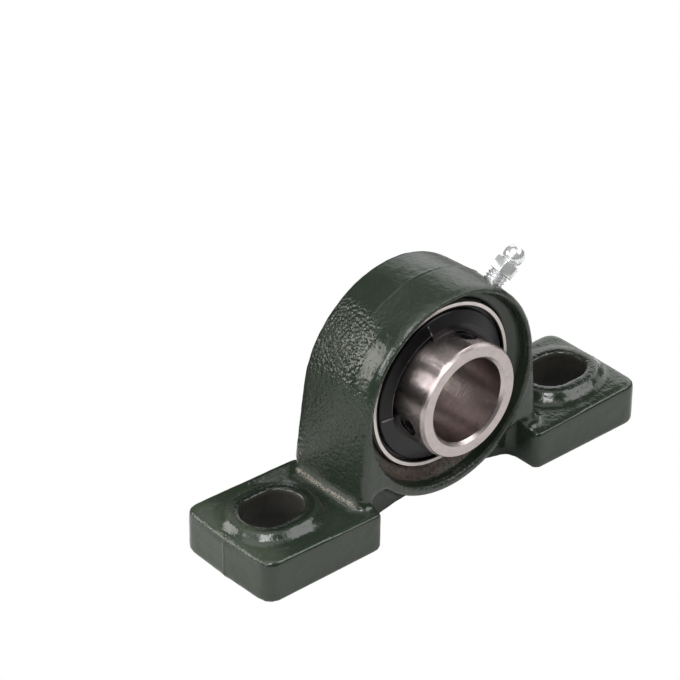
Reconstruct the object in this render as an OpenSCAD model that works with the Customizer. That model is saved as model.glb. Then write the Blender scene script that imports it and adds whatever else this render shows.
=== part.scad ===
// Pillow block bearing: a cast housing that holds a self-aligning ball bearing.
// X runs along the base, Z is up, and the side with the set screws faces -Y.
// The origin is the centre of the base's underside. All sizes are in millimetres.

/* [Housing] */
// Height of the shaft centre above the base
shaft_h = 36.5; // [34:0.5:44]
// Length of the base over both feet
base_l = 140; // [136:1:170]
// Width of the feet
base_w = 36; // [33:0.5:42]
// Height of the feet at their edges
foot_h = 13.2; // [11:0.2:14]
// Radius of the feet's upright corners
corner_r = 4; // [2.5:0.5:6]
// Radius along the feet's top edges
edge_r = 1.3; // [0.6:0.1:2]
// Distance from a slot's centre to the end of its foot
slot_edge = 17; // [15:0.5:19]
// Width of the bolt slots
slot_w = 13.5; // [9:0.5:14.5]
// Length of the bolt slots, end to end
slot_l = 18.5; // [15:0.5:22]
// Width of the raised land round each slot
land_w = 4.2; // [2.5:0.1:4.6]
// Height of that land above the foot
land_h = 2.4; // [1:0.2:4]
// Casting between the bearing seat and the outside of the arch
arch_wall = 5.5; // [4.5:0.1:8]
// Width of the arch, front to back
arch_w = 27.2; // [25:0.2:30]
// Draft on each side of the parting line, in degrees
draft_a = 3; // [0.5:0.25:5]
// Spread of the legs below the shaft, in degrees
leg_a = 5.5; // [1:0.5:8]
// Radius along the arch's outer edges
arch_edge_r = 2; // [0.8:0.1:2.5]
// Fillet where the arch meets the feet
fillet_r = 2.4; // [1:0.2:3]
// Height at which the arch's sides end and the web begins
side_z = 14.8; // [13.8:0.2:16]
// Thickness of the web between the feet
web_t = 16; // [12:0.5:20]
// Clear height under the middle of the web
web_rise = 4.6; // [2:0.2:5]
// Depth of the recess in each face of the arch
recess_d = 5.8; // [3:0.1:6.5]
// Casting between the recess and the outside of the arch
rim_w = 2.9; // [2:0.1:5]

/* [Bearing] */
// Shaft diameter
shaft_d = 25; // [20:0.5:30]
// Spherical outside diameter of the outer ring
outer_d = 52; // [50:0.5:63]
// Width of the outer ring
outer_w = 17; // [16:0.2:20.4]
// Ball diameter
ball_d = 7.938; // [6.8:0.001:8.4]
// Number of balls
ball_count = 9; // [7:1:9]
// Depth of the raceway grooves
race_depth = 1.5; // [1.1:0.1:1.7]
// Length of the inner ring in front of the ball row
front_len = 19.8; // [18:0.1:24]
// Length of the inner ring behind the ball row
rear_len = 14.3; // [12:0.1:18]
// Distance from the front face to the set screws
screw_edge = 6.6; // [5.2:0.1:7]
// Angle of the first set screw round the shaft
screw_a = 75; // [40:5:120]
// Set screw diameter
screw_d = 6; // [4:0.5:7]

/* [Grease nipple] */
// Angle of the nipple above the base
nipple_a = 41; // [30:1:60]
// Lean of the nipple towards the front
nipple_lean = 5; // [0:1:8]
// Thread diameter of the nipple
nipple_d = 5.8; // [5:0.2:7]
// Width of the nipple's hexagon across the flats
nipple_af = 6.5; // [6:0.5:9]
// Thread left showing between the casting and the hexagon
nipple_out = 3.3; // [1:0.1:5]

/* [Clearances] */
// Between the outer ring and its seat
seat_gap = 0.04; // [0.02:0.01:0.1]
// Between the balls and the raceways
ball_gap = 0.03; // [0.02:0.01:0.06]
// Between the balls and the cage pockets
pocket_gap = 0.12; // [0.08:0.02:0.2]
// Between the seal lips and the inner ring
lip_gap = 0.1; // [0.05:0.05:0.2]
// Between the set screws and their holes
screw_gap = 0.05; // [0.02:0.01:0.08]

/* [Hidden] */

fine = 96;      // sides of a machined circle
cast = 32;      // sides of a circle inside a hull
far = 200;      // longer than any piece, for cuts that run right out
lap = 0.5;      // overlap of solids that are fused

paint = [0.2, 0.26, 0.21];
steel = [0.72, 0.69, 0.67];
black = [0.13, 0.13, 0.14];
zinc = [0.82, 0.82, 0.8];

// Housing
seat_r = outer_d/2 + seat_gap;
arch_r = outer_d/2 + arch_wall;
arch_y = arch_w/2;
recess_r = arch_r - rim_w;
recess_y = arch_y - recess_d;
lip_r = 1;                          // rounding of the recess's mouth
slot_x = base_l/2 - slot_edge;
slot_run = slot_l - slot_w;         // distance between the centres of a slot's ends
foot_in_x = arch_r - 3;           // inner end of each foot, under the arch's side
end_draft = base_w/2*tan(2);        // how far the ends fall back from the parting line
land_slope = 1.7;                   // spread of the slot's land from its top to its foot
land_edge_r = 0.9;
web_end_rise = 0.4;                 // clear height under the web where it meets the feet
fillet_sink = 0.06;                 // the fillets' edges run into the walls by this much
low_ring_r = arch_r + 1.3;          // the arch is thicker under the bearing
load_w = outer_w + 0.6;             // slots that let the bearing in, edge on

// Bearing
pitch_r = (shaft_d + outer_d)/4 + 0.25;
ball_r = ball_d/2;
groove_r = 0.52*ball_d;
inner_race_r = pitch_r - ball_r - ball_gap;
inner_r = inner_race_r + race_depth;
outer_race_r = pitch_r + ball_r + ball_gap;
land_r = outer_race_r - race_depth;
outer_y = outer_w/2;
bore_r = shaft_d/2;
seal_seat_r = land_r + 1.2;         // counterbore that holds a seal
seal_y = outer_y - 1.9;             // floor of that counterbore
shield_t = 0.6;
lip_w = 1;                          // rubber between the shield and the inner ring
slinger_r = seal_seat_r - 0.8;
slinger_t = 0.6;
slinger_hub_y = outer_y + 1.1;      // outer face of a slinger at the inner ring
slinger_rim_y = outer_y + 0.05;     // and at its rim
slinger_window = [105, 188];        // arc where a slinger stands off the inner ring
slinger_window_w = 1.5;
slinger_hub_w = 1.7;
step_d = 0.3;                       // step down to the slinger's window
grease_y = -outer_d/2*sin(nipple_lean); // lubrication groove, under the nipple's hole
grease_w = 2.4;
grease_d = 0.6;
screw_y = -(front_len - screw_edge);
screw_turn = 120;
screw_low_r = bore_r + 0.15;        // tip of a slack set screw, just clear of the shaft
screw_top_r = inner_r - 0.7;
hex_socket = screw_d/2;

// Cage
cage_t = 0.8;
cage_in_r = inner_r + 1;
cage_out_r = land_r - 1;
rivet_r = 0.55;
rivet_head_r = 0.9;
rivet_head_h = 0.35;

// Grease nipple, in distances from the bearing's centre
nipple_in = arch_r - 3;
hex_low = arch_r + nipple_out;
hex_h = 3.7;
head_r = 3.2;
head_c = hex_low + hex_h + 2.3;     // middle of the head
head_top = head_c + 2.7;
channel_r = 0.75;
chamber_r = 1.25;
chamber_low = nipple_in + 1;
check_r = 1;
check_c = head_top - 0.9 - 0.7;     // the ball waits under the channel's mouth
spring_wire = 0.22;
spring_r = 0.8;
spring_turns = 9;
spring_gap = 0.04;
spring_steps = 14*spring_turns;
wire_sides = 6;
spring_low = chamber_low + spring_wire/2 + spring_gap;
spring_top = check_c - sqrt(pow(check_r + spring_wire/2 + spring_gap, 2) - pow(spring_r, 2));
spring_slope = atan((spring_top - spring_low)/(2*PI*spring_r*spring_turns));

// Point j round the wire at step i of the helix
function wire_point(i, j) =
    let (a = 360*spring_turns*i/spring_steps, b = 360*j/wire_sides,
         r = spring_r + spring_wire/2*cos(b), h = spring_wire/2*sin(b))
    [r*cos(a) + h*sin(spring_slope)*sin(a), r*sin(a) - h*sin(spring_slope)*cos(a),
     spring_low + (spring_top - spring_low)*i/spring_steps + h*cos(spring_slope)];

function ball_angle(k) = 360/ball_count*(k - 1) + 10;

module at_shaft() translate([0, 0, shaft_h]) children();

// Turns a profile of radius and Y about the shaft's axis
module turned(sides = fine) at_shaft() rotate([-90, 0, 0]) rotate_extrude($fn = sides) children();

// Lays +Z along the nipple, with the origin at the bearing's centre
module along_nipple() at_shaft() rotate([nipple_lean, 90 - nipple_a, 0]) children();

// Lays +Z along a radius at angle a round the shaft, in the plane y
module along_radius(a, y) at_shaft() translate([0, y, 0]) rotate([0, 90 - a, 0]) children();

// Section of the arch at radius r: drafted both ways from the parting line, with rounded outer edges
module arch_section(r) {
    t = tan(draft_a);
    yc = arch_y - arch_edge_r;
    xc = r - yc*t - arch_edge_r/cos(draft_a);
    xt = xc + arch_edge_r*cos(draft_a);
    yt = yc + arch_edge_r*sin(draft_a);
    polygon([[0, -arch_y], [xc, -arch_y], [xc, -yc], [xt, -yt], [r, 0],
             [xt, yt], [xc, yc], [xc, arch_y], [0, arch_y]]);
    for (s = [-1, 1]) translate([xc, s*yc]) circle(arch_edge_r, $fn = 48);
}

module whole_ring(r) at_shaft() rotate([90, 0, 0]) rotate_extrude($fn = fine) arch_section(r);

// Round part of the arch, down to where the legs leave it along a tangent
module arch_crown() at_shaft() rotate([90, 0, 0]) rotate([0, 0, leg_a])
    rotate_extrude(angle = 180 - 2*leg_a, $fn = fine) arch_section(arch_r);

// Leg on the right, spreading below the shaft
module leg() at_shaft() rotate([0, -leg_a, 0]) translate([0, 0, -shaft_h]) linear_extrude(shaft_h) arch_section(arch_r);

module arch() {
    arch_crown();
    for (s = [0, 1]) mirror([s, 0, 0]) intersection() {
        leg();
        union() {
            translate([-far/2, -far/2, side_z]) cube(far);
            translate([foot_in_x, -far/2, foot_h - 2]) cube(far);
        }
    }
    intersection() {
        whole_ring(low_ring_r);
        translate([-far/2, -far/2, 0]) cube([far, far, side_z + lap]);
    }
}

// Concave strip of length len along +Y that fills the corner between a foot and a spreading leg
module corner_fillet(len) rotate([90, 0, 0]) translate([0, 0, -len]) linear_extrude(len) difference() {
    x = fillet_r*(1 - sin(leg_a))/cos(leg_a);
    polygon([[-lap, -lap], [x, -lap], [x, fillet_r],
             [x - fillet_r*cos(leg_a), fillet_r - fillet_r*sin(leg_a)],
             [x - (fillet_r + lap)*cos(leg_a), fillet_r - (fillet_r + lap)*sin(leg_a)]]);
    translate([x, fillet_r]) circle(fillet_r, $fn = 48);
}

// Where a leg's side meets the foot's top, in the parting plane
leg_foot_x = arch_r*cos(leg_a) + (arch_r*sin(leg_a) + shaft_h - foot_h)*tan(leg_a);

module arch_fillets() for (s = [0, 1], v = [0, 1]) mirror([s, 0, 0]) mirror([0, v, 0]) intersection() {
    translate([leg_foot_x - fillet_sink, 0, foot_h - fillet_sink]) rotate([0, 0, draft_a])
        translate([0, -lap, 0]) corner_fillet(arch_y - arch_edge_r + lap);
    translate([0, 0, -far/2]) cube(far);
}

module rounded_post(x, y, r, h, top_r) translate([x, y, 0]) {
    cylinder(h = h - top_r, r = r, $fn = cast);
    translate([0, 0, h - top_r]) rotate_extrude($fn = cast) translate([r - top_r, 0]) circle(top_r, $fn = 24);
}

// One foot: upright corners, rounded top edges, and an end that falls back from the parting line
module foot() hull() {
    for (s = [-1, 1]) {
        rounded_post(base_l/2 - end_draft - corner_r, s*(base_w/2 - corner_r), corner_r, foot_h, edge_r);
        rounded_post(foot_in_x + corner_r/2, s*(base_w/2 - corner_r/2), corner_r/2, foot_h, edge_r);
    }
    rounded_post(base_l/2 - edge_r, 0, edge_r, foot_h, edge_r);
}

// Raised oval land round a bolt slot
module slot_land() hull() for (s = [-1, 1]) translate([slot_x + s*slot_run/2, 0, 0]) {
    translate([0, 0, foot_h - lap]) cylinder(h = lap, r = slot_w/2 + land_w + land_slope, $fn = cast);
    translate([0, 0, foot_h + land_h - land_edge_r]) rotate_extrude($fn = cast)
        translate([slot_w/2 + land_w - land_edge_r, 0]) circle(land_edge_r, $fn = 16);
}

module slot_hole() {
    for (s = [-1, 1]) translate([slot_x + s*slot_run/2, 0, -lap]) cylinder(h = far, d = slot_w, $fn = fine);
    translate([slot_x - slot_run/2, -slot_w/2, -lap]) cube([slot_run, slot_w, far]);
}

// Web between the feet, arched underneath
module web() {
    half = foot_in_x;
    sag = web_rise - web_end_rise;
    arc_r = (half*half + sag*sag)/(2*sag);
    difference() {
        translate([-half - corner_r/2, -web_t/2, web_end_rise]) cube([2*half + corner_r, web_t, side_z + lap - web_end_rise]);
        translate([0, 0, web_rise - arc_r]) rotate([90, 0, 0]) cylinder(h = far, r = arc_r, center = true, $fn = 4*fine);
    }
}

// Everything cut from the arch about the shaft's axis
module seat_cut() {
    at_shaft() rotate([90, 0, 0]) sphere(seat_r, $fn = fine);
    for (v = [-1, 1]) turned() mirror([0, v < 0 ? 1 : 0]) {
        translate([0, recess_y]) square([recess_r, arch_w]);
        difference() {
            translate([recess_r - lap, arch_y - lip_r]) square([lip_r + lap, arch_w]);
            translate([recess_r + lip_r, arch_y - lip_r]) circle(lip_r, $fn = 48);
        }
    }
    at_shaft() translate([0, arch_w/2, 0]) cube([2*seat_r, arch_w, load_w], center = true);
}

module nipple_hole() along_nipple() {
    translate([0, 0, nipple_in]) cylinder(h = far, d = nipple_d, $fn = fine);
    translate([0, 0, seat_r - 2]) cylinder(h = far, r = nipple_d/2 - 1.2, $fn = fine);
}

module housing() color(paint) difference() {
    union() {
        arch();
        arch_fillets();
        web();
        for (s = [0, 1]) mirror([s, 0, 0]) {
            foot();
            slot_land();
        }
    }
    seat_cut();
    nipple_hole();
    for (s = [0, 1]) mirror([s, 0, 0]) slot_hole();
}

module grease_nipple() color(zinc) along_nipple() difference() {
    union() {
        translate([0, 0, nipple_in]) cylinder(h = hex_low - nipple_in + lap, d = nipple_d, $fn = fine);
        intersection() {
            translate([0, 0, hex_low]) cylinder(h = hex_h, r = nipple_af/sqrt(3), $fn = 6);
            translate([0, 0, hex_low + hex_h/2]) sphere(nipple_af/sqrt(3)*1.09, $fn = fine);
        }
        translate([0, 0, hex_low + hex_h - lap]) cylinder(h = head_c - hex_low - hex_h + lap, r1 = 2.5, r2 = 2.1, $fn = fine);
        intersection() {
            translate([0, 0, head_c]) sphere(head_r, $fn = fine);
            translate([0, 0, head_c - 1.5]) cylinder(h = head_top - head_c + 1.5, r = 2*head_r, $fn = fine);
        }
    }
    translate([0, 0, nipple_in - lap]) cylinder(h = far, r = channel_r, $fn = fine);
    translate([0, 0, chamber_low]) cylinder(h = head_top - 0.9 - chamber_low, r = chamber_r, $fn = fine);
}

module nipple_check_ball() color(steel) along_nipple() translate([0, 0, check_c]) sphere(check_r, $fn = fine);

// Compression spring: one round wire swept up a helix
module nipple_spring() color(steel) along_nipple() polyhedron(
    points = [for (i = [0:spring_steps], j = [0:wire_sides - 1]) wire_point(i, j)],
    faces = concat(
        [for (i = [0:spring_steps - 1], j = [0:wire_sides - 1])
            [i*wire_sides + j, (i + 1)*wire_sides + j,
             (i + 1)*wire_sides + (j + 1)%wire_sides, i*wire_sides + (j + 1)%wire_sides]],
        [[for (j = [0:wire_sides - 1]) j], [for (j = [wire_sides - 1:-1:0]) spring_steps*wire_sides + j]]));

module outer_ring() color(steel) difference() {
    turned() difference() {
        intersection() {
            circle(outer_d/2, $fn = 2*fine);
            translate([land_r, -outer_y]) square([outer_d/2, outer_w]);
        }
        translate([outer_race_r - groove_r, 0]) circle(groove_r, $fn = fine);
        for (v = [0, 1]) mirror([0, v]) translate([0, seal_y]) square([seal_seat_r, outer_w]);
        translate([outer_d/2 - grease_d, grease_y - grease_w/2]) square([5, grease_w]);
    }
    for (a = [90, 270]) along_radius(a, grease_y) cylinder(h = far, r = 0.75, $fn = 32);
}

module inner_ring() {
    face_r = inner_r - 0.6;
    bore_chamfer = 0.9;
    color(steel) difference() {
        turned() polygon([[bore_r, -front_len + bore_chamfer], [bore_r + bore_chamfer, -front_len],
                          [face_r, -front_len], [inner_r, -front_len + 1.3], [inner_r, rear_len - 0.6],
                          [face_r, rear_len], [bore_r + bore_chamfer/2, rear_len],
                          [bore_r, rear_len - bore_chamfer/2]]);
        turned() translate([inner_race_r + groove_r, 0]) circle(groove_r, $fn = fine);
        for (n = [0, 1]) along_radius(screw_a + n*screw_turn, screw_y) cylinder(h = far, d = screw_d, $fn = fine);
    }
}

module ball(k) color(steel) at_shaft() rotate([0, -ball_angle(k), 0]) translate([pitch_r, 0, 0]) sphere(ball_r, $fn = fine);

module on_pitch(shift = 0) for (k = [1:ball_count])
    at_shaft() rotate([0, -ball_angle(k) - shift, 0]) translate([pitch_r, 0, 0]) children();

// Rear half of the ribbon cage: a flat ring with a domed pocket behind each ball
module cage_half() difference() {
    intersection() {
        union() {
            turned() square([far/2, cage_t]);
            on_pitch() sphere(ball_r + pocket_gap + cage_t, $fn = 48);
        }
        turned() translate([cage_in_r, 0]) square([cage_out_r - cage_in_r, outer_w]);
    }
    on_pitch() sphere(ball_r + pocket_gap, $fn = 48);
    on_pitch(180/ball_count) rotate([90, 0, 0]) cylinder(h = 4*cage_t, r = rivet_r, center = true, $fn = 32);
}

module cage_rear() color(steel) cage_half();

module cage_front() color(steel) mirror([0, 1, 0]) cage_half();

module cage_rivets() color(steel) on_pitch(180/ball_count) rotate([90, 0, 0]) {
    cylinder(h = 2*cage_t, r = rivet_r, center = true, $fn = 32);
    for (v = [0, 1]) mirror([0, 0, v]) translate([0, 0, cage_t])
        cylinder(h = rivet_head_h, r1 = rivet_head_r, r2 = rivet_head_r - 0.3, $fn = 32);
}

// Steel shield pressed into the outer ring's rear counterbore
module seal_shield() turned() translate([inner_r + lip_gap + lip_w, seal_y])
    square([seal_seat_r - inner_r - lip_gap - lip_w, shield_t]);

// Rubber lip bonded to the shield's bore
module seal_lip() turned() polygon([
    [inner_r + lip_gap, seal_y + shield_t + 0.2], [inner_r + lip_gap, seal_y + 0.2],
    [inner_r + lip_gap + lip_w, seal_y], [inner_r + lip_gap + lip_w, seal_y + shield_t]]);

module front_seal_shield() color(steel) mirror([0, 1, 0]) seal_shield();
module front_seal_lip() color(black) mirror([0, 1, 0]) seal_lip();
module rear_seal_shield() color(steel) seal_shield();
module rear_seal_lip() color(black) seal_lip();

// Slice of everything between the angles a and b round the shaft, less than half a turn apart
module shaft_slice(a, b) at_shaft() rotate([90, 0, 0]) linear_extrude(far, center = true)
    polygon([[0, 0], far*[cos(a), sin(a)], far*[cos((a + b)/2), sin((a + b)/2)], far*[cos(b), sin(b)]]);

// Slinger on the rear of the inner ring: a dished disc, stepped down and cut away along one arc
module slinger() {
    hub_r = inner_r + slinger_hub_w;
    window_r = inner_r + slinger_window_w;
    difference() {
        turned() polygon([[inner_r, slinger_hub_y], [hub_r, slinger_hub_y],
                          [slinger_r - 0.3, slinger_rim_y], [slinger_r, slinger_rim_y - 0.3],
                          [slinger_r, slinger_rim_y - slinger_t], [hub_r, slinger_hub_y - slinger_t - step_d],
                          [inner_r, slinger_hub_y - slinger_t - step_d]]);
        intersection() {
            turned() polygon([[0, 0], [window_r, 0], [window_r, slinger_hub_y - step_d],
                              [hub_r, slinger_hub_y - step_d], [slinger_r - 0.6, slinger_rim_y - step_d],
                              [slinger_r - 0.6, outer_w], [0, outer_w]]);
            shaft_slice(slinger_window[0], slinger_window[1]);
        }
    }
}

module rear_slinger() color(black) slinger();
module front_slinger() color(black) mirror([0, 1, 0]) slinger();

// Set screw with a hexagon socket and a cupped tip
module set_screw(n) color(black) along_radius(screw_a + n*screw_turn, screw_y) difference() {
    translate([0, 0, screw_low_r]) {
        cylinder(h = 0.8, r1 = screw_d/2 - 0.8, r2 = screw_d/2 - screw_gap, $fn = fine);
        translate([0, 0, 0.8]) cylinder(h = screw_top_r - screw_low_r - 0.8, r = screw_d/2 - screw_gap, $fn = fine);
    }
    translate([0, 0, screw_top_r - 2]) cylinder(h = far, r = hex_socket/sqrt(3), $fn = 6);
    translate([0, 0, screw_low_r - lap]) cylinder(h = lap + 0.5, r1 = 1.4, r2 = 0.4, $fn = 32);
}

module set_screw_a() set_screw(0);
module set_screw_b() set_screw(1);

housing();
grease_nipple();
nipple_check_ball();
nipple_spring();
outer_ring();
inner_ring();
for (k = [1:ball_count]) ball(k);
cage_front();
cage_rear();
cage_rivets();
front_seal_shield();
front_seal_lip();
rear_seal_shield();
rear_seal_lip();
front_slinger();
rear_slinger();
set_screw_a();
set_screw_b();
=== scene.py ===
"""Looks of the pillow block bearing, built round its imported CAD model."""
import math

import bmesh
import bpy
from mathutils import Matrix, Vector, noise


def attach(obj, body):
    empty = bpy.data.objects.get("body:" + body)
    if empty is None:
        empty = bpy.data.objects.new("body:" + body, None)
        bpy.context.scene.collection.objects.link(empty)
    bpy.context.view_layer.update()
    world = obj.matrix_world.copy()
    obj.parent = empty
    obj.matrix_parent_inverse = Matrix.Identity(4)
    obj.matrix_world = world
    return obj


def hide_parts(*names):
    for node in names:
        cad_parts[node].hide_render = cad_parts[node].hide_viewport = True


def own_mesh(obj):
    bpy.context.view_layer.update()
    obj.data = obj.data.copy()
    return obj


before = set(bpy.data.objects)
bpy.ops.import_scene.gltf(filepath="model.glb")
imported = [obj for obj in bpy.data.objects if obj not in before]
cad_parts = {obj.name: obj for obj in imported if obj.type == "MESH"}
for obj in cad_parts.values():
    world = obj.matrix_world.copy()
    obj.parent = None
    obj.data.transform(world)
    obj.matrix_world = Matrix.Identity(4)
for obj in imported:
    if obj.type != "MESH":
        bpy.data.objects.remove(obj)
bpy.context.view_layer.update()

MM = 0.001

# The photograph's camera: where it stands and how it is turned, in metres and degrees
CAMERA_EYE = (-0.51977, -0.55114, 0.52598)
CAMERA_AZIMUTH = -41.66
CAMERA_ELEVATION = 32.35
CAMERA_ROLL = 0.76
CAMERA_LENS = 174.597

# Sizes of the CAD model that the looks line up with, in millimetres and degrees
SHAFT_H = 36.5
SEAT_R = 26.04
ARCH_R = 31.5
ARCH_Y = 13.6
DRAFT = math.tan(math.radians(3.0))
LEG_ANGLE = math.radians(5.5)
RECESS_R = 28.6
RECESS_Y = 7.8
FOOT_H = 13.2
FOOT_X = 70.0
SLOT_X = 53.0
SLOT_RUN = 2.5
SLOT_R = 6.75
INNER_R = 17.0
BORE_R = 12.5
FRONT_Y = -19.8
SEAL_SEAT_R = 23.199
SLINGER_STEP_R = 18.5
SLINGER_WINDOW = (105, 188)
NIPPLE_ANGLE = 41.0
NIPPLE_LEAN = 5.0
CHECK_TRAVEL = 0.6

# How the casting differs from the CAD housing, in millimetres
VOXEL = 0.66
SWELL = 1.4
SEAT_GAP = 0.01
SAND_ON_ARCH = 0.06
SAND_ON_FEET = 0.035
SKIN_SINK = 0.1
SEAM_HEIGHT = 0.22
SEAM_WIDTH = 0.28
SEAM_REACH = 1.1
REAR_LEAN = math.tan(math.radians(2.0))
REAR_LEAN_TOP = 60
REAR_LEAN_X = 38.5
REAR_LEAN_Y = 8

# Corners of a full reflection card
CARD_SIDES = 64


def place_camera():
    """Stands the camera where the photographer's stood."""
    az, el, roll = (math.radians(a) for a in (CAMERA_AZIMUTH, CAMERA_ELEVATION, CAMERA_ROLL))
    back = Vector((math.sin(az) * math.cos(el), -math.cos(az) * math.cos(el), math.sin(el)))
    level = Vector((0, 0, 1)).cross(back).normalized()
    rise = back.cross(level)
    right = math.cos(roll) * level + math.sin(roll) * rise
    up = math.cos(roll) * rise - math.sin(roll) * level
    turned = Matrix((right, up, back)).transposed().to_4x4()
    data = bpy.data.cameras.new("camera")
    data.lens = CAMERA_LENS
    data.sensor_width = 36
    data.clip_start, data.clip_end = 0.01, 20
    camera = bpy.data.objects.new("camera", data)
    bpy.context.scene.collection.objects.link(camera)
    camera.matrix_world = Matrix.Translation(CAMERA_EYE) @ turned
    bpy.context.scene.camera = camera


place_camera()


class Wire:
    """A socket of a material's nodes. Arithmetic on it adds Math nodes."""

    def __init__(self, tree, socket=None):
        self.tree = tree
        self.socket = socket

    def node(self, kind, settings=None, sockets=None, out=0):
        """Adds a node, makes its settings, then fills its sockets with values or wires."""
        made = self.tree.nodes.new(kind)
        for name, value in (settings or {}).items():
            setattr(made, name, value)
        for name, value in (sockets or {}).items():
            if isinstance(value, Wire):
                self.tree.links.new(value.socket, made.inputs[name])
            else:
                made.inputs[name].default_value = value
        return Wire(self.tree, made.outputs[out] if made.outputs else None)

    def math(self, operation, *values):
        return self.node("ShaderNodeMath", {"operation": operation}, dict(enumerate(values)))

    def __add__(self, other):
        return self.math("ADD", self, other)

    __radd__ = __add__

    def __sub__(self, other):
        return self.math("SUBTRACT", self, other)

    def __rsub__(self, other):
        return self.math("SUBTRACT", other, self)

    def __mul__(self, other):
        return self.math("MULTIPLY", self, other)

    __rmul__ = __mul__

    def __pow__(self, other):
        return self.math("POWER", self, other)

    def size(self):
        return self.math("ABSOLUTE", self)

    def ramp(self, low, high):
        """0 below low and 1 above high, or the other way round if low is the larger."""
        soft = {"interpolation_type": "SMOOTHSTEP"}
        if low < high:
            return self.node("ShaderNodeMapRange", soft,
                             {"Value": self, "From Min": low, "From Max": high})
        return self.node("ShaderNodeMapRange", soft,
                         {"Value": self, "From Min": high, "From Max": low,
                          "To Min": 1, "To Max": 0})

    def between(self, rise_from, rise_to, fall_from, fall_to):
        """1 in a band, with a soft rise below it and a soft fall above it."""
        return self.ramp(rise_from, rise_to) * self.ramp(fall_to, fall_from)

    def blend(self, first, second):
        """A colour that goes from first to second as this wire goes from 0 to 1."""
        first, second = ((*c, 1) if isinstance(c, tuple) else c for c in (first, second))
        return self.node("ShaderNodeMix", {"data_type": "RGBA"},
                         {0: self, 6: first, 7: second}, out=2)


class Finish:
    """A material under way: its place wires in millimetres and the patterns that read them."""

    def __init__(self, name):
        self.material = bpy.data.materials.new(name)
        self.material.use_nodes = True
        self.tree = self.material.node_tree
        self.tree.nodes.clear()
        self.wire = Wire(self.tree)
        place = self.wire.node("ShaderNodeTexCoord", out=3)
        self.place = self.wire.node("ShaderNodeVectorMath", {"operation": "SCALE"},
                                    {0: place, 3: 1000.0})
        self.x, self.y, self.z = self.parts(self.place)
        self.nz = self.parts(self.wire.node("ShaderNodeNewGeometry", out=1))[2]

    def parts(self, vector):
        """The three numbers of a vector wire."""
        split = self.wire.node("ShaderNodeSeparateXYZ", sockets={0: vector}).socket.node
        return [Wire(self.tree, output) for output in split.outputs]

    def radius(self):
        """Distance from the shaft's axis."""
        up = self.z - SHAFT_H
        return (self.x * self.x + up * up) ** 0.5

    def skin(self):
        """Like radius() round the crown, but square to the legs below it, without the draft."""
        up = self.z - SHAFT_H
        side = self.x.size()
        out = side * math.cos(LEG_ANGLE) + up * math.sin(LEG_ANGLE)
        along = up * math.cos(LEG_ANGLE) - side * math.sin(LEG_ANGLE)
        along = self.wire.math("MAXIMUM", along, 0.0)
        return (out * out + along * along) ** 0.5 + self.y.size() * DRAFT

    def noise(self, width, detail=2.0, roughness=0.5, place=None, seed=0.0):
        """Soft noise whose lumps are about this many millimetres wide."""
        return self.wire.node("ShaderNodeTexNoise", {"noise_dimensions": "4D"},
                              {"Vector": place or self.place, "W": seed, "Scale": 1 / width,
                               "Detail": detail, "Roughness": roughness})

    def turning(self, width):
        """Noise in bands that run round the shaft's axis, as a lathe or a grinder leaves them."""
        across = self.wire.node("ShaderNodeCombineXYZ", sockets={0: self.radius(), 1: self.y})
        return self.noise(width, 2, place=across, seed=1)

    def cells(self, width, smoothness, place=None):
        """Distance from the middle of rounded cells about this many millimetres wide."""
        return self.wire.node("ShaderNodeTexVoronoi", {"feature": "SMOOTH_F1"},
                              {"Vector": place or self.place, "Scale": 1 / width,
                               "Smoothness": smoothness})

    def swirled(self, width, reach):
        """The place, pushed about by soft noise."""
        drift = self.wire.node("ShaderNodeTexNoise", out=1, sockets={
            "Vector": self.place, "Scale": 1 / width, "Detail": 1.0})
        centred = self.wire.node("ShaderNodeVectorMath", {"operation": "SUBTRACT"},
                                 {0: drift, 1: (0.5, 0.5, 0.5)})
        return self.wire.node("ShaderNodeVectorMath", {"operation": "MULTIPLY_ADD"},
                              {0: centred, 1: (reach, reach, reach), 2: self.place})

    def bump(self, height, depth):
        """A normal from a height of 0 to 1, where 1 stands depth millimetres proud."""
        return self.wire.node("ShaderNodeBump", sockets={
            "Height": height, "Distance": depth * MM, "Strength": 1.0})

    def tilted(self, normal, lean):
        """A normal leaned along Y, as the lay of a turned surface leans it."""
        along = self.wire.node("ShaderNodeCombineXYZ", sockets={1: lean})
        both = self.wire.node("ShaderNodeVectorMath", {"operation": "ADD"}, {0: normal, 1: along})
        return self.wire.node("ShaderNodeVectorMath", {"operation": "NORMALIZE"}, {0: both})

    def done(self, **sockets):
        """The material, with its Principled sockets filled by their names."""
        names = {key.replace("_", " "): value for key, value in sockets.items()}
        shader = self.wire.node("ShaderNodeBsdfPrincipled", sockets={
            key: (*value, 1) if isinstance(value, tuple) and len(value) == 3 else value
            for key, value in names.items()})
        self.wire.node("ShaderNodeOutputMaterial", sockets={"Surface": shader})
        return self.material


def srgb(red, green, blue):
    """A colour as it is seen on a screen, 0 to 255, made linear."""
    return tuple(c / 12.92 if c <= 0.04045 else ((c + 0.055) / 1.055) ** 2.4
                 for c in (red / 255, green / 255, blue / 255))


def dimmed(colour, part):
    """A colour brought down to this part of itself."""
    return tuple(c * part for c in colour)


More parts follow.
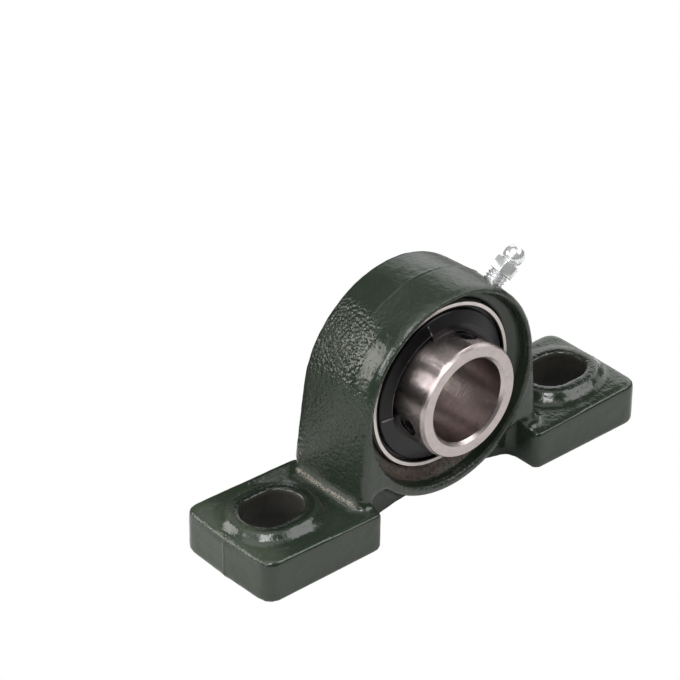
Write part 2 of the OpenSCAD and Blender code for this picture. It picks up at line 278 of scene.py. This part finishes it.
def enamel():
    """Dark green gloss enamel, thick and wet-looking over a sand casting."""
    f = Finish("green_enamel")
    skin, radius = f.skin(), f.radius()
    up = f.z - SHAFT_H
    side, deep = f.x.size(), f.y.size()

    # The arch's outside, from the crown down to the feet, and its smoother front
    outside = skin.ramp(ARCH_R - 1.4, ARCH_R - 0.5) * f.z.ramp(FOOT_H + 1.5, FOOT_H + 3)
    crown = up.ramp(23.0, 28.0)
    low_flank = up.ramp(12.0, 6.0)
    smooth_front = f.y.ramp(-3.5, -6.5) * up.ramp(7.0, 11.0)
    rear_gain = f.y.ramp(-6.0, 6.0)

    # The feet's tops, the corner where they meet the arch, the recess's lip and the feet's rims
    top = f.nz.ramp(0.6, 0.9) * f.z.ramp(FOOT_H + 4, FOOT_H + 2)
    corner = (skin.between(ARCH_R - 0.5, ARCH_R + 0.3, ARCH_R + 3, ARCH_R + 4.5)
              * f.z.between(FOOT_H - 0.5, FOOT_H, FOOT_H + 2, FOOT_H + 3))
    lip = (radius.between(RECESS_R - 0.2, RECESS_R + 0.3, RECESS_R + 1.2, RECESS_R + 2.0)
           * deep.ramp(ARCH_Y - 1.6, ARCH_Y - 0.8))
    rim = (f.z.between(FOOT_H - 1.8, FOOT_H - 1.0, FOOT_H + 0.2, FOOT_H + 0.6)
           * side.ramp(FOOT_X - 2.2, FOOT_X - 1.4))

    # The paint's relief: pebbled flanks, a pitted front, grainy edges and a ripple elsewhere
    pebbles = 1.0 - f.cells(1.0, 0.45, f.swirled(3.0, 0.9))
    pits = f.cells(0.9, 0.1).ramp(0.22, 0.08) * f.noise(2.2, 1, seed=8).ramp(0.5, 0.62)
    broad = f.noise(5.0, 2, seed=6)
    ripple = f.noise(1.1, 2, 0.5, seed=2)
    fine = f.noise(0.6, 2, 0.5, seed=3)
    edge_grain = f.noise(0.7, 2, 0.6, seed=9)
    strong = outside * (1.0 - crown) * (1.0 - low_flank) * (1.0 - 0.92 * smooth_front)
    height = (strong * pebbles * (1.05 + rear_gain * 1.25)
              + outside * low_flank * (pebbles * 0.5 + fine * 0.4)
              - outside * smooth_front * pits * 0.6
              + (corner * 1.2 + lip * 1.3 + rim) * edge_grain
              + (outside * crown * 0.28 + top * 0.27 + 0.22) * ripple
              + broad * 0.5)

    # Colour: plain green, then rust low in the recess, bare slot walls with painted shade deeper
    # in, painted shade on the lands round the slots, a painted sheen on the ends of the feet, and
    # painted glint flecks in the corners
    base = f.noise(9.0, 3, seed=1).blend(srgb(30, 39, 30), srgb(39, 49, 38))
    recess_floor = radius.ramp(RECESS_R + 0.6, RECESS_R - 0.2) * deep.ramp(10.5, 9.0)
    low = recess_floor * up.ramp(-10, -20)
    rust = low * f.noise(1.2, 3, seed=4).ramp(0.3, 0.6)
    base = rust.blend(base, srgb(92, 76, 68))

    past_run = f.wire.math("MAXIMUM", (side - SLOT_X).size() - SLOT_RUN, 0.0)
    slot = (past_run ** 2 + f.y * f.y) ** 0.5
    slot_wall = slot.ramp(SLOT_R + 0.9, SLOT_R + 0.3) * f.nz.ramp(0.75, 0.4)
    # The slot walls darken with depth to near black: painted shade inside the slots.
    slot_depth_shade = f.z.ramp(FOOT_H - 1.0, FOOT_H - 7.5)
    bare = f.noise(1.5, 2, seed=7).blend(srgb(34, 33, 29), srgb(56, 55, 49))
    base = slot_wall.blend(base, slot_depth_shade.blend(bare, srgb(12, 12, 11)))

    # The flat lands round the slots are painted darker green: painted shade.
    land_shade = top * slot.ramp(SLOT_R + 3.4, SLOT_R + 2.4)
    base = land_shade.blend(base, srgb(20, 26, 20))
    # The ends of the feet's tops are painted paler: a painted sheen.
    pale_end_sheen = top * side.ramp(FOOT_X - 12, FOOT_X - 4) * 0.6
    base = pale_end_sheen.blend(base, srgb(64, 72, 60))
    # Pale specks along the fillet where the legs meet the feet: a painted glint, broken into
    # flecks.
    glint_fleck = (corner * skin.between(ARCH_R + 0.5, ARCH_R + 0.8, ARCH_R + 1.3, ARCH_R + 1.7)
             * f.noise(0.28, 1, seed=11).ramp(0.45, 0.62))
    base = glint_fleck.blend(base, srgb(150, 142, 130))

    rough = (0.13 + f.noise(3.0, 2, seed=5) * 0.08 + crown * 0.14 + low_flank * outside * 0.1
             + slot_wall * 0.35 + recess_floor * 0.2 + corner * 0.3 - land_shade * 0.06)
    return f.done(Base_Color=base, Roughness=rough, Normal=f.bump(height + low * fine * 1.5, 0.26),
                  Specular_IOR_Level=0.5)


def race_steel():
    """The outer ring: ground in bands that run round it, with painted shade along its seal's seat,
    where the gap to the slinger is.
    """
    f = Finish("race_steel")
    colour = srgb(206, 198, 195)
    turning = f.turning(0.2)
    cloud = f.noise(4.0, 3, seed=2)
    grain = f.noise(0.35, 2, 0.6, seed=3)
    mix = turning * 0.3 + cloud * 0.4 + grain * 0.3
    # Near black just outside the seal's seat: painted shade in the gap there.
    seat_gap_shade = f.radius().ramp(SEAL_SEAT_R + 0.5, SEAL_SEAT_R + 0.3)
    base = seat_gap_shade.blend(mix.ramp(0.3, 0.7).blend(dimmed(colour, 0.78), colour), srgb(30, 28, 28))
    return f.done(Base_Color=base, Metallic=1.0, Roughness=0.26 + turning * 0.06 + grain * 0.06,
                  Normal=f.bump(turning + grain, 0.004))


def inner_steel():
    """The inner ring: a bright face, a finely turned bore and outside, and screw holes painted
    dark as shade.
    """
    f = Finish("ring_steel")
    radius = f.radius()
    turning = f.turning(0.3)
    lay = f.wire.node("ShaderNodeTexWhiteNoise", {"noise_dimensions": "1D"}, {1: f.y * 40.0})
    cloud = f.noise(3.0, 3, seed=2)
    grain = f.noise(0.4, 2, 0.6, seed=3)

    outside = radius.ramp(INNER_R - 0.4, INNER_R - 0.1)
    bore = radius.ramp(BORE_R + 0.5, BORE_R + 0.2)
    # The walls of the screw holes are painted near black: painted shade inside them.
    screw_hole_shade = (radius.between(BORE_R + 0.8, BORE_R + 1.1, INNER_R - 0.35, INNER_R - 0.15)
            * f.y.ramp(FRONT_Y + 0.8, FRONT_Y + 1.2))

    mix = (turning * 0.25 + cloud * 0.2 + grain * 0.55).ramp(0.3, 0.7)
    bright = mix.blend(srgb(164, 154, 153), srgb(190, 180, 179))
    dull = mix.blend(srgb(166, 154, 152), srgb(200, 188, 186))
    honed = mix.blend(srgb(152, 142, 141), srgb(190, 180, 179))
    base = screw_hole_shade.blend(bore.blend(outside.blend(bright, dull), honed), srgb(34, 31, 31))
    lean = (lay - 0.5) * (outside + bore * 0.22)
    return f.done(Base_Color=base, Metallic=1.0,
                  Roughness=0.3 + grain * 0.08 - outside * 0.12 - bore * 0.1,
                  Normal=f.tilted(f.bump(turning + grain, 0.0025), lean))


def plain_steel(name, colour, rough):
    """Steel of one colour with a faint cloud in it."""
    f = Finish(name)
    cloud = f.noise(3.0, 3, seed=1)
    return f.done(Base_Color=cloud.blend(dimmed(colour, 0.8), colour), Metallic=1.0,
                  Roughness=rough + cloud * 0.08)


def zinc():
    """Bright zinc plate on the grease nipple."""
    f = Finish("bright_zinc")
    cloud = f.noise(1.5, 3, seed=1)
    return f.done(Base_Color=cloud.blend(srgb(215, 217, 220), srgb(240, 240, 240)), Metallic=0.65,
                  Roughness=0.16 + cloud * 0.1, Normal=f.bump(f.noise(0.6, 2, seed=2), 0.005))


def black_oxide():
    """The set screws' black oxide."""
    f = Finish("black_oxide")
    colour = srgb(30, 30, 32)
    cloud = f.noise(2.5, 3, seed=1)
    return f.done(Base_Color=cloud.blend(dimmed(colour, 0.8), colour), Metallic=0.35,
                  Roughness=0.35 + cloud * 0.1, Normal=f.bump(f.noise(0.4, 2, seed=2), 0.008))


def slinger_black():
    """The slingers' black oxide, with a painted highlight along the edges of the front one's
    window and painted shade inside it.
    """
    f = Finish("black_satin")
    radius = f.radius()
    up = f.z - SHAFT_H
    step_line = (radius - SLINGER_STEP_R).size().ramp(0.16, 0.04)
    start, end = (math.radians(a) for a in SLINGER_WINDOW)
    past_start = (up * math.cos(start) - f.x * math.sin(start)).ramp(-0.1, 0.1)
    before_end = (f.x * math.sin(end) - up * math.cos(end)).ramp(-0.1, 0.1)
    # Inside the window the oxide is painted near black: painted shade on the recessed step.
    inside = (past_start * before_end
              * radius.ramp(SLINGER_STEP_R - 0.1, SLINGER_STEP_R + 0.1))
    ends = 0.0
    for angle in (start, end):
        across = f.x * math.sin(angle) - up * math.cos(angle)
        outward = f.x * math.cos(angle) + up * math.sin(angle)
        ends = ends + across.size().ramp(0.2, 0.05) * outward.ramp(0.0, 1.0)
    # Pale, more metallic lines along the window's step and ends: a painted highlight on those
    # edges.
    line = (step_line * past_start * before_end
            + ends * radius.ramp(SLINGER_STEP_R - 0.1, SLINGER_STEP_R))
    edge = (f.wire.math("MINIMUM", line, 1.0) * f.noise(1.5, 2, seed=4).ramp(0.25, 0.5)
            * radius.ramp(22.0, 21.6))
    cloud = f.noise(2.5, 3, seed=1)
    plain = inside.blend(cloud.blend(srgb(30, 28, 31), srgb(42, 39, 43)), srgb(12, 12, 13))
    return f.done(Base_Color=edge.blend(plain, srgb(176, 172, 176)), Metallic=0.35 + edge * 0.4,
                  Roughness=0.3 + cloud * 0.1, Specular_IOR_Level=0.35,
                  Normal=f.bump(f.noise(0.4, 2, seed=2), 0.008))


def rubber():
    """The seal lips' black rubber."""
    f = Finish("seal_rubber")
    cloud = f.noise(1.0, 3, seed=1)
    return f.done(Base_Color=cloud.blend(srgb(18, 18, 18), srgb(30, 30, 30)),
                  Roughness=0.6 + cloud * 0.15)


def put_in_scene(name, data):
    """Adds an object to the scene."""
    made = bpy.data.objects.new(name, data)
    bpy.context.scene.collection.objects.link(made)
    return made


def add_piece(name, mesh, body, finish):
    """Puts a mesh that is already in place into the scene, on its body."""
    piece = put_in_scene(name, mesh)
    mesh.materials.clear()
    mesh.materials.append(finish)
    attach(piece, body)
    return piece


def mesh_from(name, bm):
    """A mesh with what the bmesh holds, which is freed."""
    mesh = bpy.data.meshes.new(name)
    bm.to_mesh(mesh)
    bm.free()
    return mesh


def evaluated_mesh(mesh, steps):
    """The mesh after a row of modifiers, each a type and its settings."""
    helper = put_in_scene("helper", mesh)
    for kind, settings in steps:
        modifier = helper.modifiers.new(kind.lower(), kind)
        for name, value in settings.items():
            setattr(modifier, name, value)
    depsgraph = bpy.context.evaluated_depsgraph_get()
    made = bpy.data.meshes.new_from_object(helper.evaluated_get(depsgraph))
    bpy.data.objects.remove(helper)
    return made


def smooth(bm):
    """Shades every face smooth."""
    for face in bm.faces:
        face.smooth = True


def cast_housing(finish):
    """The CAD housing with the soft fillets, edges and sand texture of a painted casting."""
    bm = bmesh.new()
    bm.from_mesh(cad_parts["housing"].data)
    bmesh.ops.remove_doubles(bm, verts=bm.verts, dist=0.002 * MM)
    voxel = {"mode": "VOXEL", "voxel_size": VOXEL * MM}
    mesh = evaluated_mesh(mesh_from("housing_copy", bm), [
        ("REMESH", voxel),
        ("DISPLACE", {"strength": SWELL * MM, "mid_level": 0.0}),
        ("REMESH", voxel),
        ("DISPLACE", {"strength": -SWELL * MM, "mid_level": 0.0}),
        ("REMESH", voxel),
        ("SMOOTH", {"factor": 0.5, "iterations": 3}),
    ])
    bm = bmesh.new()
    bm.from_mesh(mesh)
    seam = [edge for edge in bm.edges if all(near_seam(vert.co / MM) for vert in edge.verts)]
    bmesh.ops.subdivide_edges(bm, edges=seam, cuts=2, use_grid_fill=True)
    bm.normal_update()
    for vert in bm.verts:
        place = vert.co / MM
        place.y += rear_lean(place)
        place = clear_of_seat(place + vert.normal * sand_height(place, vert.normal))
        place.z = max(place.z, 0)
        vert.co = place * MM
    smooth(bm)
    mesh = mesh_from("housing_casting", bm)
    piece = add_piece("housing_casting", mesh, "housing", finish)
    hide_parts("housing")


def share(value, full):
    """The part of full that value reaches, between 0 and 1."""
    return min(1.0, max(0.0, value / full))


def rear_lean(place):
    """How far the rear face of the arch and legs leans back above the feet, in millimetres."""
    on_rear = (share(place.y - REAR_LEAN_Y, 5) * share(REAR_LEAN_X - abs(place.x), 2)
               * share(place.z - FOOT_H, 2))
    return REAR_LEAN * max(0, REAR_LEAN_TOP - place.z) * on_rear


def skin_radius(place):
    """Distance from the shaft's axis, or square to the legs below it, without the draft."""
    side, up = abs(place.x), place.z - SHAFT_H
    out = side * math.cos(LEG_ANGLE) + up * math.sin(LEG_ANGLE)
    along = max(0, up * math.cos(LEG_ANGLE) - side * math.sin(LEG_ANGLE))
    return math.hypot(out, along) + abs(place.y) * DRAFT


def outer_skin(place):
    """True on the arch's outer surface and on the feet's ends."""
    on_part = place.z > FOOT_H + 4 or abs(place.x) > FOOT_X - 3
    return skin_radius(place) > ARCH_R - 0.5 and on_part


def near_seam(place):
    """True where the mould's parting line runs over the outer surface."""
    return abs(place.y) < SEAM_REACH and outer_skin(place)


def sand_height(place, normal):
    """How far the painted skin stands from the plain surface, in millimetres."""
    under_base = place.z < 0.3 or normal.z < -0.9 and place.z < 1
    up = place.z - SHAFT_H
    in_recess = math.hypot(place.x, up) < RECESS_R + 0.4 and abs(place.y) < RECESS_Y + 0.7
    if under_base or in_recess:
        return 0
    lumps = noise.noise(place / 2.6) + 0.5 * noise.noise(place / 1.6 + Vector((7, 3, 1)))
    height = (SAND_ON_ARCH if place.z > FOOT_H + 4 else SAND_ON_FEET) * lumps - SKIN_SINK
    if outer_skin(place):
        proud = up > 24 or place.z < FOOT_H
        ridge = 0.6 + 0.4 * noise.noise(place / 3.0) if proud else 0.05
        height += SEAM_HEIGHT * ridge * math.exp(-(place.y / SEAM_WIDTH) ** 2)
    return height


def clear_of_seat(place):
    """Keeps a point of the casting outside the spherical seat."""
    centre = Vector((0, 0, SHAFT_H))
    from_centre = place - centre
    if from_centre.length < SEAT_R + SEAT_GAP:
        return centre + from_centre.normalized() * (SEAT_R + SEAT_GAP)
    return place


def turn_profile(bm, profile, steps=64):
    """Turns a closed loop of (radius, height) points about the Z axis."""
    verts = [bm.verts.new((radius * MM, 0, height * MM)) for radius, height in profile]
    edges = [bm.edges.new(pair) for pair in zip(verts, verts[1:] + verts[:1])]
    bmesh.ops.spin(bm, geom=verts + edges, cent=(0, 0, 0), axis=(0, 0, 1), angle=2 * math.pi,
                   steps=steps, use_merge=True)


def along_nipple():
    """Turns +Z along the nipple's axis, with the origin at the bearing's centre."""
    return (Matrix.Translation((0, 0, SHAFT_H * MM))
            @ Matrix.Rotation(math.radians(90 - NIPPLE_ANGLE), 4, "Y")
            @ Matrix.Rotation(math.radians(NIPPLE_LEAN), 4, "X"))


def grease_nipple(finish):
    """The nipple with its thread, chamfered hexagon and hollow head."""
    low, hex_low, hex_top, head, top = 28.5, 34.8, 38.5, 40.8, 43.5
    passage_r, chamber_r, neck_r, shank_r, head_r = 0.75, 1.25, 2.15, 2.5, 3.05
    arc = [(head_r * math.cos(a), head + head_r * math.sin(a))
           for a in (math.radians(d) for d in range(-28, 55, 8))]
    bm = bmesh.new()
    turn_profile(bm, [
        (passage_r, low), (2.3, low), (shank_r, low + 0.3), (shank_r, hex_low - 0.3),
        (2.2, hex_low), (2.2, hex_top), (2.6, hex_top), (2.55, hex_top + 0.25),
        (neck_r, hex_top + 0.5), (neck_r, head - 1.75), *arc,
        (1.5, top - 0.04), (1.2, top), (0.95, top - 0.03), (passage_r, top - 0.25),
        (passage_r, top - 0.9), (chamber_r, top - 0.9), (chamber_r, low + 1),
        (passage_r, low + 1)])
    bmesh.ops.remove_doubles(bm, verts=bm.verts, dist=0.001 * MM)
    bmesh.ops.recalc_face_normals(bm, faces=bm.faces)
    smooth(bm)
    bm.from_mesh(hexagon(hex_low, hex_top, across=6.5))
    helix(bm, radius=2.42, crest=2.93, pitch=1.0, start=low + 0.6, turns=5.0)
    bm.transform(along_nipple())
    mesh = mesh_from("grease_nipple_zinc", bm)
    piece = add_piece("grease_nipple_zinc", mesh, "housing", finish)
    mesh.set_sharp_from_angle(angle=math.radians(38))
    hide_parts("grease_nipple")


def hexagon(low, top, across):
    """A hexagon between two heights, with its corners chamfered above and below."""
    corner_r = across / math.sqrt(3)
    chamfer_r = corner_r * 0.93
    nut = bmesh.new()
    bmesh.ops.create_cone(nut, cap_ends=True, segments=6, radius1=corner_r * MM,
                          radius2=corner_r * MM, depth=(top - low) * MM)
    for corner in range(6):
        angle = math.radians(60 * corner)
        for side in (-1, 1):
            way = Vector((math.cos(angle), math.sin(angle), 1.6 * side)).normalized()
            point = Vector((chamfer_r * math.cos(angle), chamfer_r * math.sin(angle),
                            side * (top - low) / 2)) * MM
            cut = bmesh.ops.bisect_plane(nut, geom=nut.verts[:] + nut.edges[:] + nut.faces[:],
                                         plane_co=point, plane_no=way, clear_outer=True,
                                         dist=0.0005 * MM)
            cap(nut, cut["geom_cut"])
    bmesh.ops.bevel(nut, geom=nut.edges[:], offset=0.12 * MM, affect="EDGES", segments=2,
                    profile=0.5, material=-1)
    bmesh.ops.translate(nut, verts=nut.verts, vec=(0, 0, (low + top) / 2 * MM))
    bmesh.ops.recalc_face_normals(nut, faces=nut.faces)
    return mesh_from("nut", nut)


def cap(bm, geometry):
    """Closes the loop of edges in a list of geometry with one face."""
    loop = [item for item in geometry if isinstance(item, bmesh.types.BMEdge)]
    bmesh.ops.contextual_create(bm, geom=loop)


def helix(bm, radius, crest, pitch, start, turns, per_turn=32):
    """A closed thread ridge that winds up the Z axis."""
    half = pitch * 0.42
    corners = [(radius, -half), (crest, -0.08), (crest, 0.08), (radius, half)]
    verts = [bm.verts.new((r * MM, 0, (start + h) * MM)) for r, h in corners]
    edges = [bm.edges.new(pair) for pair in zip(verts, verts[1:] + verts[:1])]
    bm.faces.new(verts)
    swept = bmesh.ops.spin(bm, geom=verts + edges, cent=(0, 0, 0), axis=(0, 0, 1),
                           angle=2 * math.pi * turns, dvec=(0, 0, pitch / per_turn * MM),
                           steps=int(turns * per_turn), use_merge=False)
    cap(bm, swept["geom_last"])


def check_spring(finish):
    """The nipple's spring as in the CAD model."""
    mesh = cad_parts["nipple_spring"].data.copy()
    piece = add_piece("nipple_spring_wire", mesh, "housing", finish)
    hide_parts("nipple_spring")
    outward = along_nipple().to_3x3() @ Vector((0, 0, 1))
    heights = [vert.co.dot(outward) for vert in mesh.vertices]
    keep = 1 - CHECK_TRAVEL * MM / (max(heights) - min(heights))
    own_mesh(piece)


def paper_floor():
    """Paper that the camera sees as white and that ends round the part, with a glowing patch
    close behind it for its bore to mirror."""
    bm = bmesh.new()
    bmesh.ops.create_grid(bm, x_segments=1, y_segments=1, size=3)
    floor = put_in_scene("floor", mesh_from("floor", bm))
    f = Finish("floor_paper")
    seen = f.wire.node("ShaderNodeLightPath")
    reach = (f.x * f.x + f.y * f.y) ** 0.5
    paper = f.y.ramp(10, 60).blend((0.84, 0.84, 0.82), (0.52, 0.52, 0.5))
    tone = reach.ramp(240, 340).blend(paper, (0.04, 0.04, 0.04))
    paper = f.wire.node("ShaderNodeBsdfDiffuse", sockets={"Color": tone})
    white = f.wire.node("ShaderNodeEmission", sockets={"Color": (1, 1, 1, 1), "Strength": 1.0})
    glow = f.wire.node("ShaderNodeEmission",
                       sockets={"Color": (1.0, 0.94, 0.92, 1), "Strength": 2.3})
    patch = f.y.between(20, 24, 50, 58) * f.x.size().ramp(45, 35)
    lit = f.wire.node("ShaderNodeMixShader", sockets={0: patch, 1: paper, 2: glow})
    both = f.wire.node("ShaderNodeMixShader", sockets={0: seen, 1: lit, 2: white})
    f.wire.node("ShaderNodeOutputMaterial", sockets={"Surface": both})
    floor.data.materials.append(f.material)


def ring_card(name, inner, outer, y, tone, first=0, last=CARD_SIDES):
    """A flat ring, or a sector of one, that only reflections see, standing behind the part."""
    bm = bmesh.new()
    turns = [2 * math.pi * k / CARD_SIDES for k in range(CARD_SIDES)]
    inside, outside = ([bm.verts.new((radius * math.cos(turn) * MM, y * MM,
                                      (SHAFT_H + radius * math.sin(turn)) * MM)) for turn in turns]
                       for radius in (max(inner, 0.01), outer))
    for k in range(first, last):
        j = (k + 1) % CARD_SIDES
        bm.faces.new((inside[k], inside[j], outside[j], outside[k]))
    card = put_in_scene(name, mesh_from(name, bm))
    card.visible_camera = card.visible_diffuse = False
    f = Finish(name)
    glow = f.wire.node("ShaderNodeEmission", sockets={"Color": (*tone, 1), "Strength": 1.0})
    f.wire.node("ShaderNodeOutputMaterial", sockets={"Surface": glow})
    card.data.materials.append(f.material)


def reflection_cards():
    """Cards in pale and dark tones behind the part, which its bright bore and outside mirror."""
    pale, haze = (0.5, 0.47, 0.46), (0.1, 0.09, 0.09)
    ring_card("card_bright_ring", 12.5, 17.0, 40.0, pale)
    ring_card("card_black_ring", 17.0, 23.0, 50.0, (0.02, 0.02, 0.02))
    ring_card("card_pale_ring", 23.0, 25.0, 51.0, pale)
    ring_card("card_green_ring", 25.0, 31.5, 45.0, (0.03, 0.05, 0.03))
    ring_card("card_haze_ring", 31.5, 48.0, 45.0, haze)
    ring_card("card_haze_sector", 48.0, 66.0, 45.0, haze, 23, 40)
    ring_card("card_window_sector", 31.5, 66.0, 44.9, (0.62, 0.57, 0.54), 23, 31)
    ring_card("card_dark_disc", 0.0, 12.5, 66.0, (0.05, 0.04, 0.04))


def room():
    """A dim room, which the camera sees as white."""
    world = bpy.data.worlds.new("room")
    world.use_nodes = True
    bpy.context.scene.world = world
    world.node_tree.nodes.clear()
    wire = Wire(world.node_tree)
    seen = wire.node("ShaderNodeLightPath")
    dim, bright = (wire.node("ShaderNodeBackground",
                             sockets={"Color": (1, 1, 1, 1), "Strength": strength})
                   for strength in (0.1, 1.0))
    both = wire.node("ShaderNodeMixShader", sockets={0: seen, 1: dim, 2: bright})
    wire.node("ShaderNodeOutputWorld", sockets={"Surface": both})


def soft_lamps():
    """Wide lamps round the part, each turned to its middle."""
    centre = Vector((0, 0, 0.04))
    # name, compass angle from +X, height angle, distance, width, height, brightness, tint
    lamps = (
        ("window_left", 133, 20, 0.8, 0.50, 0.47, 5.6, (1.0, 0.97, 0.92)),
        ("overhead", 185, 82, 1.0, 1.0, 1.0, 1.1, (1.0, 1.0, 1.0)),
        ("back_wall", 38, 17, 0.9, 0.75, 0.55, 1.45, (1.0, 1.0, 1.0)),
        ("left_wall", 178, 35, 0.9, 0.35, 0.4, 7.6, (1.0, 1.0, 1.0)),
        ("right_wall", 0, 30, 0.9, 0.5, 0.5, 1.7, (1.0, 1.0, 1.0)),
        ("camera_left", -133, 62, 0.9, 0.3, 0.25, 11.2, (1.0, 1.0, 1.0)),
        ("front_right", -45, 45, 0.9, 0.5, 0.5, 4.0, (1.0, 1.0, 1.0)),
        ("left_front", -155, 30, 0.9, 0.5, 0.4, 1.2, (1.0, 1.0, 1.0)),
    )
    for name, turn, rise, distance, width, height, brightness, tint in lamps:
        turn, rise = math.radians(turn), math.radians(rise)
        way = Vector((math.cos(turn) * math.cos(rise), math.sin(turn) * math.cos(rise),
                      math.sin(rise)))
        data = bpy.data.lights.new(name, "AREA")
        data.shape = "RECTANGLE"
        data.size, data.size_y = width, height
        data.energy = brightness * math.pi * width * height
        data.color = tint
        lamp = put_in_scene(name, data)
        lamp.matrix_world = (Matrix.Translation(centre + way * distance)
                             @ way.to_track_quat("Z", "Y").to_matrix().to_4x4())


paper_floor()
reflection_cards()
room()
soft_lamps()

green = enamel()
race = race_steel()
ring = inner_steel()
polished = plain_steel("polished_steel", srgb(200, 198, 196), 0.08)
pressed = plain_steel("pressed_steel", srgb(170, 168, 166), 0.3)
wire_steel = plain_steel("spring_wire", srgb(160, 160, 165), 0.25)
shadowed = plain_steel("shadowed_steel", srgb(66, 64, 64), 0.4)
satin = slinger_black()
oxide = black_oxide()
seal = rubber()
bright_zinc = zinc()

cast_housing(green)
grease_nipple(bright_zinc)
check_spring(wire_steel)

node_finishes = {
    "nipple_check_ball": polished,
    "outer_ring": race,
    "inner_ring": ring,
    "cage_front": pressed,
    "cage_rear": pressed,
    "cage_rivets": pressed,
    "front_seal_shield": shadowed,
    "rear_seal_shield": shadowed,
    "front_seal_lip": seal,
    "rear_seal_lip": seal,
    "front_slinger": satin,
    "rear_slinger": satin,
    "set_screw_a": oxide,
    "set_screw_b": oxide,
    **{name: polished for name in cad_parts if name.startswith("ball_")},
}
for name, finish in node_finishes.items():
    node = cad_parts[name]
    node.data.materials.clear()
    node.data.materials.append(finish)

bpy.context.scene.view_settings.view_transform = "Standard"
